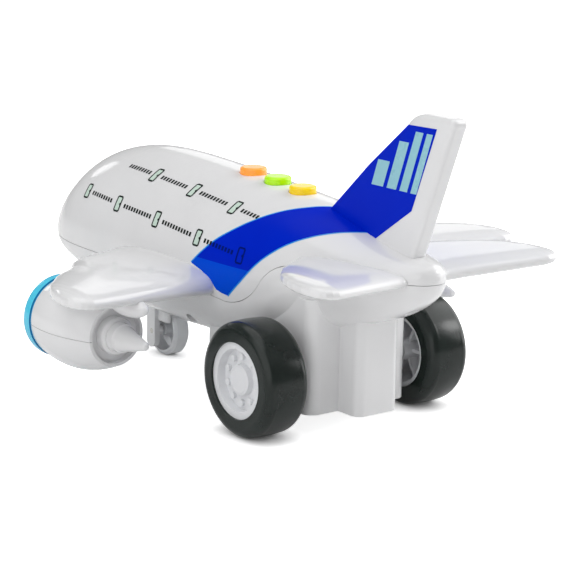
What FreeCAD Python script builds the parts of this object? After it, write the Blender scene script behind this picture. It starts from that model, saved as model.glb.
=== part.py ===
import FreeCAD, Part
import math
import os

# Toy airliner with a friction motor, lights and sound. Millimetres, +X to the nose, +Y to the
# left wing tip, +Z up. While it is drawn, x = 0 is the rear axle, y = 0 the middle plane and
# z = 0 the ground. The last function moves it so that the origin is under the middle.

# --- driving dimensions -------------------------------------------------------------------
nose_tip = 190.0
tail_tip = -60.5
middle_x = 59.75           # half way between the nose and the back of the fin
wall = 2.0                 # shell thickness
seam = 0.25                # open line between the two fuselage shells

wheel_radius = 24.0
wheel_width = 20.6
track = 85.3               # between the middles of the rear wheels
axle_radius = 1.5
running_clearance = 0.06   # radial, on every turning shaft

nose_axle_x = 123.0
nose_wheel_radius = 12.0
nose_wheel_width = 8.0
nose_axle_radius = 1.25

engine_y = 82.0
engine_z = 38.0
engine_front = 79.8
engine_lip = 41.5

fin_thickness = 8.0
wing_tip_y = 117.0

gear_module = 1.0
wheel_gear_teeth = 18      # on the axle and on the middle shaft
pinion_teeth = 8
gear_distance = gear_module * (wheel_gear_teeth + pinion_teeth) / 2

button_radius = 5.75
button_x = {"orange": 59.5, "green": 42.3, "yellow": 25.2}

X = FreeCAD.Vector(1, 0, 0)
Y = FreeCAD.Vector(0, 1, 0)
Z = FreeCAD.Vector(0, 0, 1)
ORIGIN = FreeCAD.Vector(0, 0, 0)

parts = {}


# --- small helpers ------------------------------------------------------------------------
def at(x, y, z):
    return FreeCAD.Vector(x, y, z)


def box(x0, x1, y0, y1, z0, z1):
    return Part.makeBox(x1 - x0, y1 - y0, z1 - z0, at(x0, y0, z0))


def rod(start, direction, radius, length):
    return Part.makeCylinder(radius, length, start, direction)


def across(x, z, radius, y0, y1):
    """a cylinder along Y"""
    return rod(at(x, y0, z), Y, radius, y1 - y0)


def mirrored(shape):
    return shape.mirror(ORIGIN, Y)


def on_both_sides(name, shape):
    """keeps a left piece and its mirror image on the right"""
    parts[name + "_left"] = shape
    parts[name + "_right"] = mirrored(shape)


def joined(shapes):
    solid = shapes[0]
    for other in shapes[1:]:
        solid = solid.fuse(other)
    return solid.removeSplitter()


def turned(profile, centre, axis):
    """turns a half profile, given as (along the axis, radius), about an axis through centre"""
    out = X.cross(axis)
    if out.Length < 0.5:
        out = Z
    points = [centre + axis * along + out * radius for along, radius in profile]
    face = Part.Face(Part.makePolygon(points + [points[0]]))
    return face.revolve(centre, axis, 360)


def rounded_rectangle(x0, x1, y0, y1, z, radius):
    """a flat face with rounded corners"""
    face = box(x0, x1, y0, y1, z, z + 1)
    upright = [edge for edge in face.Edges if abs(edge.tangentAt(0).z) > 0.9]
    block = face.makeFillet(radius, upright)
    flat = [side for side in block.Faces if side.CenterOfMass.z < z + 0.01]
    return flat[0]


def superellipse(count, power):
    """points round a superellipse of half sizes one, from the top"""
    ring = []
    for step in range(count):
        turn = math.pi / 2 + 2 * math.pi * step / count
        first = math.copysign(abs(math.cos(turn)) ** (2 / power), math.cos(turn))
        second = math.copysign(abs(math.sin(turn)) ** (2 / power), math.sin(turn))
        ring.append((first, second))
    return ring


def closed_curve(points):
    curve = Part.BSplineCurve()
    curve.interpolate(Points=points, PeriodicFlag=True)
    return Part.Wire([curve.toShape()])


# --- fuselage -----------------------------------------------------------------------------
# One station per row: place along the body, half width, top, height of the widest line, bottom.
fuselage_stations = [
    (-58.8, 5.0, 74.3, 70.0, 65.5),
    (-55.5, 8.8, 76.2, 70.0, 61.2),
    (-50.0, 12.2, 77.3, 70.0, 56.8),
    (-40.0, 16.2, 79.0, 69.5, 51.3),
    (-20.0, 22.6, 83.6, 67.5, 44.0),
    (0.0, 28.0, 88.8, 63.0, 37.0),
    (25.0, 33.0, 91.7, 57.0, 29.5),
    (55.0, 35.5, 94.2, 53.0, 25.5),
    (95.0, 36.0, 96.5, 51.5, 25.0),
    (125.0, 35.8, 96.6, 51.5, 27.6),
    (148.0, 34.7, 93.0, 51.5, 34.0),
    (163.0, 32.0, 86.8, 51.5, 39.0),
    (175.0, 27.0, 77.6, 52.0, 42.8),
    (183.5, 20.3, 68.2, 52.5, 46.0),
    (188.2, 11.5, 59.8, 53.0, 49.2),
]
belly_power = 2.5          # the underside is squarer than the top
section_points = 24


def fuselage_section(x, half_width, top, widest, bottom, inset):
    points = []
    upper = superellipse(section_points, 2.0)
    lower = superellipse(section_points, belly_power)
    for (y_upper, rise), (y_lower, drop) in zip(upper, lower):
        if rise >= 0:
            y = y_upper * (half_width - inset)
            z = widest + rise * (top - widest - inset)
        else:
            y = y_lower * (half_width - inset)
            z = widest + drop * (widest - bottom - inset)
        points.append(at(x, y, z))
    return closed_curve(points)


def fuselage_body():
    rings = [fuselage_section(*row, 0.0) for row in fuselage_stations]
    tail = Part.Vertex(at(tail_tip, 0, 70))
    nose = Part.Vertex(at(nose_tip, 0, 53))
    return Part.makeLoft([tail] + rings + [nose], True, False)


def fuselage_hollow():
    inner = [row for row in fuselage_stations if -56 < row[0] < 184]
    return Part.makeLoft([fuselage_section(*row, wall) for row in inner], True, False)


parting_front = 51.0
parting_rear = 68.5


def below_parting(lowered):
    """everything under the line that parts the two shells: level along the nose and the wing,
    then an S that climbs to the tailplane, then level to the tail"""
    low = parting_front - lowered
    wing_low = 47.5 - lowered
    high = parting_rear - lowered
    middle = at(14, 0, 58 - lowered)
    first_bend = Part.Arc(at(34, 0, wing_low), at(23, 0, 50 - lowered), middle)
    second_bend = Part.Arc(middle, at(6, 0, 66 - lowered), at(-5, 0, high))
    outline = [
        Part.LineSegment(at(220, 0, low), at(60, 0, low)),
        Part.LineSegment(at(60, 0, low), at(34, 0, wing_low)),
        first_bend,
        second_bend,
        Part.LineSegment(at(-5, 0, high), at(-90, 0, high)),
        Part.LineSegment(at(-90, 0, high), at(-90, 0, -20)),
        Part.LineSegment(at(-90, 0, -20), at(220, 0, -20)),
        Part.LineSegment(at(220, 0, -20), at(220, 0, low)),
    ]
    face = Part.Face(Part.Wire([piece.toShape() for piece in outline]))
    solid = face.extrude(Y * 120)
    solid.translate(Y * -60)
    return solid


# --- motor housing under the body ---------------------------------------------------------
housing_bottom = 8.0
housing_rear = -14.5
housing_front = 58.0
housing_half_width = 26.0
bulge_rear = -27.0
bulge_half_width = 11.0


def housing_block(inset, z0, z1):
    """plan of a wide block with a narrower bulge behind it, drawn up from z0 to z1"""
    wide = rounded_rectangle(housing_rear + inset, housing_front - inset,
                             -housing_half_width + inset, housing_half_width - inset, z0, 5.0 - inset)
    bulge = rounded_rectangle(bulge_rear + inset, housing_rear + 12,
                              -bulge_half_width + inset, bulge_half_width - inset, z0, 4.0 - inset)
    up = Z * (z1 - z0)
    return joined([wide.extrude(up), bulge.extrude(up)])


# --- screws and posts that hold the two shells together ------------------------------------
# place along, place across, height of the parting there
screw_places = [
    (-46.0, 0.0, parting_rear),
    (138.0, 17.0, parting_front),
    (138.0, -17.0, parting_front),
    (64.0, 28.0, parting_front),
    (64.0, -28.0, parting_front),
]
post_radius = 3.8
screw_shank = 1.3
ledge = 3.0                # plastic left under the parting for the screw head to pull on


def shells():
    outer = fuselage_body()
    hollow = fuselage_hollow()
    lower_room = below_parting(seam)
    upper_room = below_parting(0)

    top_of_housing = 56.0
    housing = housing_block(0, housing_bottom, top_of_housing)
    housing_room = housing_block(wall, housing_bottom + wall, top_of_housing + 4)

    lower = outer.fuse(housing).cut(hollow).cut(housing_room).common(lower_room)
    upper = outer.cut(hollow).cut(upper_room)

    inside = outer
    for x, y, height in screw_places:
        post = rod(at(x, y, 20), Z, post_radius, height - seam - 20).common(inside)
        recess = rod(at(x, y, 10), Z, post_radius - 1.0, height - seam - ledge - 10)
        shank = rod(at(x, y, 10), Z, screw_shank + 0.15, 80)
        lower = lower.fuse(post).cut(recess).cut(shank)
        hanging = rod(at(x, y, height - seam), Z, post_radius - 0.8, 50).common(inside)
        pilot = rod(at(x, y, height - 1), Z, screw_shank, 9)
        upper = upper.fuse(hanging).cut(pilot)
    return outer, upper, lower


def body_screws():
    screws = []
    for x, y, height in screw_places:
        seat = height - seam - ledge
        head = rod(at(x, y, seat - 1.8), Z, 2.5, 1.8)
        shank = rod(at(x, y, seat), Z, screw_shank, ledge + 6)
        slot = box(x - 2.0, x + 2.0, y - 0.35, y + 0.35, seat - 1.8, seat - 1.1)
        cross = box(x - 0.35, x + 0.35, y - 2.0, y + 2.0, seat - 1.8, seat - 1.1)
        screws.append(head.fuse(shank).cut(slot).cut(cross))
    return Part.Compound(screws)


# --- wing, tailplane and fin ----------------------------------------------------------------
def aerofoil(y, front, rear, middle, above, below, power):
    """a closed blunt section of a moulded wing, crowned on top and flatter below"""
    half = (front - rear) / 2
    points = []
    for along, rise in superellipse(20, power):
        height = rise * (above if rise > 0 else below)
        points.append(at((front + rear) / 2 + along * half, y, middle + height))
    return closed_curve(points)


# Plan of a wing as (place across, place along), then its height and thickness the same way.
wing_plan = {
    "front": [(18, 125), (70, 95), (80, 79), (94, 68), (106, 53), (130, 26)],
    "rear": [(18, 45.5), (130, 8)],
    "height": [(18, 49), (45, 51.8), (120, 60)],
    "above": [(18, 9.6), (36, 9.2), (120, 4.2)],
    "below": [(18, 4.6), (40, 4.0), (120, 2.2)],
}
tail_plan = {
    "front": [(4, 13), (26, -5), (46, -20), (64, -42)],
    "rear": [(4, -53.5), (16, -54.5), (66, -70.5)],
    "height": [(4, 68.8), (14, 69.2), (66, 73.6)],
    "above": [(4, 4.2), (30, 4.0), (66, 3.2)],
    "below": [(4, 3.6), (30, 3.4), (66, 2.8)],
}
corner_blend = 3.5         # half width over which corners of a plan are averaged


def between(rows, place):
    for (near, low), (far, high) in zip(rows, rows[1:]):
        if place <= far:
            return low + (high - low) * (place - near) / (far - near)
    return rows[-1][1]


def blended(rows, place):
    reach = [place + corner_blend * step / 3 for step in range(-3, 4)]
    return sum(between(rows, max(spot, rows[0][0])) for spot in reach) / len(reach)


def lofted_wing(plan, root, tip, tip_length, power, steps):
    """straight-sided sections from the root to a tip that is rounded in plan and in thickness"""
    rings = []
    for step in range(steps + 1):
        share = step / steps
        y = root + (tip - root) * math.sin(share * math.pi / 2) ** 0.9
        front = blended(plan["front"], y)
        rear = blended(plan["rear"], y)
        past = max(0.0, (y - (tip - tip_length)) / tip_length)
        keep = math.sqrt(max(0.0, 1 - min(past, 0.985) ** 2.6))
        middle = rear + (front - rear) * 0.42
        front = middle + (front - middle) * keep
        rear = middle + (rear - middle) * keep
        thin = 0.35 + 0.65 * keep if past < 0.98 else 0.3
        rings.append(aerofoil(y, front, rear, blended(plan["height"], y),
                              blended(plan["above"], y) * thin,
                              blended(plan["below"], y) * thin, power))
    return Part.makeLoft(rings, True, True)


# nacelle outline, as distance forward of the lip and radius
nacelle_outline = [(0.0, 12.9), (8.0, 15.9), (17.0, 18.0), (26.0, 18.5), (32.5, 18.0), (38.3, 17.0)]


def nacelle_solid():
    curve = Part.BSplineCurve()
    curve.interpolate(Points=[at(engine_lip + s, engine_y, engine_z + r) for s, r in nacelle_outline])
    front = at(engine_front, engine_y, engine_z)
    rear = at(engine_lip, engine_y, engine_z)
    outline = Part.Wire([
        curve.toShape(),
        Part.makeLine(curve.EndPoint, front),
        Part.makeLine(front, rear),
        Part.makeLine(rear, curve.StartPoint),
    ])
    return Part.Face(outline).revolve(rear, X, 360)


spigot_radius = 14.6       # ring's spigot in the nacelle mouth
nozzle_radius = 11.6       # open ring round the exhaust
barrel_end = 39.4
cone_tip = 19.4
shoulder = 46.5            # the exhaust's back plate seats here


def nacelle_bore():
    profile = [
        (engine_lip - 6, 0), (engine_lip - 6, nozzle_radius), (shoulder, nozzle_radius),
        (shoulder + 5, 14.4), (engine_front - 8, 15.0), (engine_front - 5, spigot_radius),
        (engine_front + 6, spigot_radius), (engine_front + 6, 0),
    ]
    return turned(profile, at(0, engine_y, engine_z), X)


wing_pegs = [(84.0, 55.5), (104.0, 54.8)]    # place along and height, pushed into the body
peg_radius = 2.2
peg_clearance = 0.1


def wing_and_nacelle(fuselage):
    wing = lofted_wing(wing_plan, 22.0, wing_tip_y, 12.0, 2.6, 18).cut(fuselage)
    wing = wing.cut(rod(at(engine_front, engine_y, engine_z), X, 17.1, 12))
    nacelle = nacelle_solid()
    split = engine_z - 1.0
    lower_room = box(engine_lip - 10, engine_front + 10, engine_y - 30, engine_y + 30, 0, split)
    upper = nacelle.cut(lower_room)
    fairing = Part.makeSphere(1.0)
    stretch = FreeCAD.Matrix()
    stretch.scale(13.0, 5.0, 4.4)
    fairing = fairing.transformGeometry(stretch)
    fairing.translate(at(33.0, engine_y, 52.4))
    for x, z in wing_pegs:
        wing = wing.fuse(across(x, z, peg_radius, 30.0, 42.0))
    wing = wing.fuse(upper).fuse(fairing).cut(nacelle_bore())
    lower = nacelle.common(lower_room).cut(nacelle_bore())
    lower = lower.cut(box(0, 100, 50, 120, split - 0.2, split))
    return wing, lower


def wing_peg_room():
    room = [across(x, z, peg_radius + peg_clearance, 25.0, 45.0) for x, z in wing_pegs]
    return room + [mirrored(hole) for hole in room]


def intake_ring():
    profile = [
        (engine_front - 4.0, spigot_radius - 1.6), (engine_front - 4.0, spigot_radius),
        (engine_front, spigot_radius), (engine_front, 16.8), (engine_front + 2.2, 16.5),
        (engine_front + 3.2, 15.9), (engine_front + 3.6, 15.0), (engine_front + 3.0, 13.8),
        (engine_front + 1.0, 13.0),
    ]
    return turned(profile, at(0, engine_y, engine_z), X)


def engine_fan():
    """a disc with a pointed spinner and a ring of raised, twisted blades"""
    back = engine_front - 6.5
    disc = turned([(back, 0), (back, 12.9), (back + 1.2, 12.9), (back + 1.2, 3.2),
                   (back + 3.0, 2.8), (back + 5.0, 0)], at(0, engine_y, engine_z), X)
    centre = at(0, engine_y, engine_z)
    count = 14
    for step in range(count):
        blade = box(back + 1.0, back + 2.6, engine_y - 0.45, engine_y + 0.45,
                    engine_z + 2.6, engine_z + 12.2)
        blade.rotate(at(back + 1.5, engine_y, engine_z), Z, 28)
        blade.rotate(centre, X, 360 * step / count)
        disc = disc.fuse(blade)
    return disc


def engine_exhaust():
    """back plate, core barrel with a rounded end and the flat-tipped cone"""
    profile = [
        (shoulder, 0), (shoulder, nozzle_radius), (shoulder - 2.0, nozzle_radius),
        (shoulder - 2.0, 7.8), (barrel_end + 1.3, 7.8), (barrel_end + 0.5, 7.5), (barrel_end, 6.8),
        (barrel_end, 6.2), (barrel_end - 3.5, 6.0), (barrel_end - 4.1, 5.4),
        (cone_tip + 1.0, 1.7), (cone_tip + 0.2, 1.2), (cone_tip, 0),
    ]
    return turned(profile, at(0, engine_y, engine_z), X)


def engine_led():
    lamp = rod(at(engine_front - 14.5, engine_y, engine_z), X, 2.5, 4.5)
    dome = Part.makeSphere(2.5, at(engine_front - 10.0, engine_y, engine_z))
    foot = rod(at(engine_front - 15.5, engine_y, engine_z), X, 2.9, 1.0)
    bracket = box(shoulder, engine_front - 15.5, engine_y - 1.5, engine_y + 1.5,
                  engine_z - 1.5, engine_z + 1.5)
    return joined([lamp, dome, foot, bracket])


fin_slot = (-36, -10, -1.5, 1.5)      # plan of the fin's tongue in the body
tailplane_slot = (-42, -16, 8, 70.2, 73.2)


def tailplane_tongue(reach):
    rear, front, inner, low, high = tailplane_slot
    return box(rear, front, inner, reach, low, high)


def tail_fin(fuselage):
    base = 70.0
    outline = [
        Part.LineSegment(at(14, 0, base), at(2.5, 0, 88.5)),
        Part.LineSegment(at(2.5, 0, 88.5), at(-43.5, 0, 130.0)),
        Part.Arc(at(-43.5, 0, 130.0), at(-48.0, 0, 133.4), at(-53.0, 0, 134.6)),
        Part.LineSegment(at(-53.0, 0, 134.6), at(-67.5, 0, 134.6)),
        Part.Arc(at(-67.5, 0, 134.6), at(-70.2, 0, 133.4), at(-69.9, 0, 130.5)),
        Part.LineSegment(at(-69.9, 0, 130.5), at(-46.5, 0, base)),
        Part.LineSegment(at(-46.5, 0, base), at(14, 0, base)),
    ]
    face = Part.Face(Part.Wire([piece.toShape() for piece in outline]))
    blade = face.extrude(Y * fin_thickness)
    blade.translate(Y * (-fin_thickness / 2))
    rims = []
    for edge in blade.Edges:
        middle = edge.CenterOfMass
        if abs(middle.y) > 1 and middle.z > base + 1:
            rims.append(edge)
    blade = blade.makeFillet(2.2, rims)
    tongue = box(*fin_slot, 76, 92)
    return blade.cut(fuselage).fuse(tongue.cut(box(-40, 0, -5, 5, 90, 95)))


# --- wheels ---------------------------------------------------------------------------------
hub_radius = 15.8
hub_inset = 1.0
bead_radius = 17.0
bead_half_width = 3.4      # the rib of the hub that the tyre snaps over


def tyre(y):
    half = wheel_width / 2
    bead = bead_half_width
    shoulder_radius = 4.6
    corner = shoulder_radius * (1 - math.sqrt(0.5))
    crown = 0.25
    outer = [
        Part.LineSegment(at(0, -bead, bead_radius), at(0, -bead, hub_radius)),
        Part.LineSegment(at(0, -bead, hub_radius), at(0, -half, hub_radius)),
        Part.LineSegment(at(0, -half, hub_radius), at(0, -half, wheel_radius - shoulder_radius)),
        Part.Arc(at(0, -half, wheel_radius - shoulder_radius),
                 at(0, corner - half, wheel_radius - corner - crown / 2),
                 at(0, shoulder_radius - half, wheel_radius - crown)),
        Part.Arc(at(0, shoulder_radius - half, wheel_radius - crown),
                 at(0, 0, wheel_radius),
                 at(0, half - shoulder_radius, wheel_radius - crown)),
        Part.Arc(at(0, half - shoulder_radius, wheel_radius - crown),
                 at(0, half - corner, wheel_radius - corner - crown / 2),
                 at(0, half, wheel_radius - shoulder_radius)),
        Part.LineSegment(at(0, half, wheel_radius - shoulder_radius), at(0, half, hub_radius)),
        Part.LineSegment(at(0, half, hub_radius), at(0, bead, hub_radius)),
        Part.LineSegment(at(0, bead, hub_radius), at(0, bead, bead_radius)),
        Part.LineSegment(at(0, bead, bead_radius), at(0, -bead, bead_radius)),
    ]
    solid = Part.Face(Part.Wire([piece.toShape() for piece in outer])).revolve(ORIGIN, Y, 360)
    solid.translate(at(0, y, wheel_radius))
    return solid


def hub(y):
    """a dished disc with a domed cap and a ring of studs outside, a ribbed cup inside"""
    face_y = wheel_width / 2 - hub_inset
    floor = face_y - 3.6
    web = floor - 2.0
    profile = [
        (-face_y, 13.9), (-face_y, hub_radius), (-bead_half_width, hub_radius),
        (-bead_half_width, bead_radius), (bead_half_width, bead_radius),
        (bead_half_width, hub_radius), (face_y, hub_radius), (face_y, 12.9),
        (floor, 12.4), (floor, 6.6), (face_y - 1.3, 6.2), (face_y - 0.7, 5.0), (face_y - 0.5, 0),
        (web - 1.4, 0), (web - 1.4, axle_radius), (-face_y, axle_radius), (-face_y, 4.4),
        (web, 4.8), (web, 13.9),
    ]
    solid = turned(profile, ORIGIN, Y)
    for step in range(10):
        turn = 2 * math.pi * (step + 0.5) / 10
        stud = rod(at(9.6 * math.cos(turn), floor - 0.5, 9.6 * math.sin(turn)), Y, 1.35, 2.0)
        solid = solid.fuse(stud)
    for step in range(6):
        rib = box(4.0, 14.2, web - 9.0, web + 0.5, -0.7, 0.7)
        rib.rotate(ORIGIN, Y, 60 * step)
        solid = solid.fuse(rib)
    solid.translate(at(0, y, wheel_radius))
    return solid


def nose_wheel():
    """a hollow wheel, open to the left, with a middle boss, a web and three round pips"""
    half = nose_wheel_width / 2
    bore = nose_axle_radius + running_clearance
    profile = [
        (-half, bore), (-half, nose_wheel_radius - 1.2), (-half + 1.2, nose_wheel_radius),
        (half - 1.2, nose_wheel_radius), (half, nose_wheel_radius - 1.2),
        (half, nose_wheel_radius - 2.2), (-half + 1.6, nose_wheel_radius - 2.4),
        (-half + 1.6, 3.4), (half - 0.6, 3.0), (half - 0.6, bore),
    ]
    solid = turned(profile, ORIGIN, Y)
    for step in range(3):
        turn = math.radians(236 + 120 * step)
        pip = rod(at(6.4 * math.cos(turn), -half + 1.0, 6.4 * math.sin(turn)), Y, 2.0, 5.0)
        solid = solid.fuse(pip)
    solid.translate(at(nose_axle_x, 0, nose_wheel_radius))
    return solid


fork_peg_radius = 3.0


def nose_gear_fork(fuselage):
    """rounded hood over the top of the wheel, with a round-ended leg down each side"""
    x = nose_axle_x
    hood = rounded_rectangle(x - 9.5, x + 9.5, -7.2, 7.2, 16.5, 3.0).extrude(Z * 20)
    front_edge = [edge for edge in hood.Edges if edge.CenterOfMass.z < 16.6]
    hood = hood.makeFillet(1.5, front_edge)
    hood = hood.cut(across(x, nose_wheel_radius, nose_wheel_radius + 1.2, -5.2, 5.2))
    hood = hood.cut(box(x - 8.0, x + 8.0, -5.2, 5.2, 10, 19))
    leg_x = x + 0.8
    bottom = 4.2
    leg = box(leg_x - 3.2, leg_x + 3.2, 6.4, 9.2, bottom + 3.2, 30)
    leg = leg.fuse(across(leg_x, bottom + 3.2, 3.2, 6.4, 9.2))
    washer = across(x, nose_wheel_radius, 2.6, 4.4, 6.6)
    side = joined([leg, washer])
    fork = joined([hood, side, mirrored(side)]).cut(fuselage)
    peg = rod(at(x, 0, 27), Z, fork_peg_radius, 8)
    fork = fork.fuse(peg)
    return fork.cut(across(x, nose_wheel_radius, nose_axle_radius, -10, 10))


# --- friction motor -------------------------------------------------------------------------
first_line = math.radians(27)    # climb from the axle to the middle shaft
second_line = math.radians(20)   # climb from the middle shaft to the flywheel
middle_shaft = (gear_distance * math.cos(first_line),
                wheel_radius + gear_distance * math.sin(first_line))
flywheel_shaft = (middle_shaft[0] + gear_distance * math.cos(second_line),
                  middle_shaft[1] + gear_distance * math.sin(second_line))
tooth_slack = 0.16         # share of the pitch left free between teeth


def toothed_wheel(teeth, x, z, y0, y1, bore, turn):
    """spur gear with straight-flanked teeth narrowing to their tips"""
    pitch_radius = gear_module * teeth / 2
    root = pitch_radius - 1.15 * gear_module
    tip = pitch_radius + 0.85 * gear_module
    pitch_angle = 2 * math.pi / teeth
    thickness = pitch_angle * (0.5 - tooth_slack / 2)
    corners = []
    for step in range(teeth):
        middle = turn + step * pitch_angle
        for share, radius in ((-0.62, root), (-0.24, tip), (0.24, tip), (0.62, root)):
            angle = middle + share * thickness * (1.0 if radius == tip else 1.08)
            corners.append(at(x + radius * math.cos(angle), y0, z + radius * math.sin(angle)))
    solid = Part.Face(Part.makePolygon(corners + [corners[0]])).extrude(Y * (y1 - y0))
    if bore > 0:
        solid = solid.cut(across(x, z, bore, y0 - 1, y1 + 1))
    return solid


def in_mesh(driver_turn, driver_teeth, driven_teeth, line_angle):
    """turn of the driven gear that puts a gap where the driver has a tooth"""
    driver_phase = (line_angle - driver_turn) / (2 * math.pi / driver_teeth)
    facing = line_angle + math.pi
    return facing + (driver_phase + 0.5) * (2 * math.pi / driven_teeth)


motor_half_width = 18.6
shaft_half_length = motor_half_width - 0.4


def friction_motor():
    parts["axle_gear"] = toothed_wheel(wheel_gear_teeth, 0, wheel_radius, -2.5, 2.5, axle_radius, 0)
    middle_turn = in_mesh(0, wheel_gear_teeth, pinion_teeth, first_line)
    x, z = middle_shaft
    pinion = toothed_wheel(pinion_teeth, x, z, -3.2, 4.6, 0, middle_turn)
    wheel = toothed_wheel(wheel_gear_teeth, x, z, 4.5, 8.5, 0, middle_turn)
    pins = across(x, z, axle_radius, -shaft_half_length, shaft_half_length)
    parts["middle_gear"] = joined([pinion, wheel, pins])

    x, z = flywheel_shaft
    fast_turn = in_mesh(middle_turn, wheel_gear_teeth, pinion_teeth, second_line)
    parts["flywheel_pinion"] = toothed_wheel(pinion_teeth, x, z, 3.9, 9.1, axle_radius, fast_turn)
    parts["flywheel_shaft"] = across(x, z, axle_radius, -shaft_half_length, shaft_half_length)
    disc = across(x, z, 10.8, -15.4, -9.0)
    dish = across(x, z, 8.6, -17.0, -14.0).cut(across(x, z, 4.0, -17.5, -14))
    parts["flywheel"] = disc.cut(dish).cut(across(x, z, axle_radius, -17, -8))


def motor_case():
    outer = box(-11.4, 36.8, 0, motor_half_width, 11.8, 46.6)
    room = box(-10.0, 35.4, -1, motor_half_width - 1.5, 13.2, 45.2)
    along = [edge for edge in outer.Edges if abs(edge.tangentAt(0).y) > 0.9]
    half = outer.makeFillet(3.0, along).cut(room)
    shafts = [(0, wheel_radius), middle_shaft, flywheel_shaft]
    for x, z in shafts:
        half = half.fuse(across(x, z, 3.2, motor_half_width - 3.2, motor_half_width - 1.0))
    for x, z in shafts:
        half = half.cut(across(x, z, axle_radius + running_clearance, 5, motor_half_width + 1))
    on_both_sides("motor_case", half)


# --- buttons, circuit board, speaker and battery --------------------------------------------
board_top = 77.0
button_rise = 2.6          # above the body
cap_depth = 3.2            # below the body's surface
flange_depth = 4.4         # underside of the flange, where the spring pushes


def surface_height(x):
    """height of the top line of the body, read between its stations"""
    for near, far in zip(fuselage_stations, fuselage_stations[1:]):
        if near[0] <= x <= far[0]:
            share = (x - near[0]) / (far[0] - near[0])
            return near[2] + share * (far[2] - near[2])
    return 0


def push_button(x):
    skin = surface_height(x)
    top = skin + button_rise
    cap = rod(at(x, 0, skin - cap_depth), Z, button_radius, button_rise + cap_depth)
    rim = [edge for edge in cap.Edges if edge.CenterOfMass.z > top - 0.1 and len(edge.Vertexes) == 1]
    cap = cap.makeFillet(1.2, rim)
    flange_foot = skin - flange_depth
    flange = rod(at(x, 0, flange_foot), Z, button_radius + 1.4, 1.4)
    stem_foot = board_top + 4.2
    stem = rod(at(x, 0, stem_foot), Z, 1.8, flange_foot - stem_foot + 0.5)
    return joined([cap, flange, stem])


def button_spring(x):
    wire_radius = 0.3
    coil_radius = 3.9
    turns = 3.5
    rise = surface_height(x) - flange_depth - board_top - 2 * wire_radius
    helix = Part.makeHelix(rise / turns, rise, coil_radius)
    circle = Part.Wire([Part.makeCircle(wire_radius, at(coil_radius, 0, 0), Y)])
    coil = Part.Wire(helix.Edges).makePipeShell([circle], True, True)
    coil.translate(at(x, 0, board_top + wire_radius))
    return coil


def electronics():
    board = box(14, 72, -13, 13, board_top - 1.6, board_top)
    for x in (17, 69):
        for y in (-10, 10):
            board = board.cut(rod(at(x, y, board_top - 3), Z, 1.3, 6))
    parts["circuit_board"] = board
    switches = []
    for x in button_x.values():
        base = box(x - 2.4, x + 2.4, -2.4, 2.4, board_top, board_top + 2.0)
        switches.append(base.fuse(rod(at(x, 0, board_top + 2.0), Z, 1.6, 0.6)))
    parts["button_switches"] = Part.Compound(switches)
    basket = turned([(0, 0), (0, 5), (1.5, 5), (5.0, 14.0), (6.0, 14.0), (6.0, 12.6), (4.4, 4.0),
                     (4.0, 0)], at(92, 0, 51), Z)
    magnet = rod(at(92, 0, 47), Z, 6.0, 4.0)
    parts["speaker"] = basket.fuse(magnet)


battery_radius = 7.1
battery_spacing = 14.8
battery_length = 49.0      # without the nub
battery_z = 37.4
battery_front = 112.0
battery_rear = 62.0
door_screw = (107.0, 7.4)  # between two cells
screw_seat = 27.4          # height where its head pulls on the door


def batteries():
    cells = []
    for y in (-battery_spacing, 0.0, battery_spacing):
        nub_forward = y == 0
        low = battery_rear if nub_forward else battery_rear + 1.0
        can = rod(at(low, y, battery_z), X, battery_radius, battery_length)
        nub_at = low + battery_length if nub_forward else low - 1.0
        cells.append(can.fuse(rod(at(nub_at, y, battery_z), X, 2.6, 1.0)))
    return Part.Compound(cells)


def battery_contacts():
    front = box(battery_front, battery_front + 0.5, -21, 21, battery_z - 5, battery_z + 5)
    rear = box(battery_rear - 0.5, battery_rear, -21, 21, battery_z - 5, battery_z + 5)
    return Part.Compound([front, rear])


def battery_tray(fuselage_room):
    """box that holds the cells, open below where the door closes it"""
    outside = box(battery_rear - 2.2, battery_front + 2.2, -23.6, 23.6, 24, battery_z + 9)
    inside = box(battery_rear - 0.6, battery_front + 0.6, -22.2, 22.2, 20, battery_z + 7.6)
    tray = outside.cut(inside).common(fuselage_room)
    x, y = door_screw
    rib = box(x, battery_front + 1.0, y - 0.9, y + 0.9, 29.4, 32.4)
    boss = rod(at(x, y, 29.4), Z, 2.3, 2.6)
    return tray.fuse(rib).fuse(boss).cut(rod(at(x, y, 20), Z, 1.2, 14))


door_rear = 61.0
door_front = 113.0
door_half_width = 15.0


def battery_door_room(gap):
    plate = rounded_rectangle(door_rear - gap, door_front + gap, -door_half_width - gap,
                              door_half_width + gap, 20, 3.0 + gap)
    return plate.extrude(Z * 10.5)


def battery_door_screw():
    x, y = door_screw
    head = rod(at(x, y, screw_seat - 1.2), Z, 2.4, 1.2)
    slot = box(x - 2.0, x + 2.0, y - 0.35, y + 0.35, screw_seat - 1.2, screw_seat - 0.7)
    return head.fuse(rod(at(x, y, screw_seat), Z, 1.2, 5.0)).cut(slot)


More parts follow.
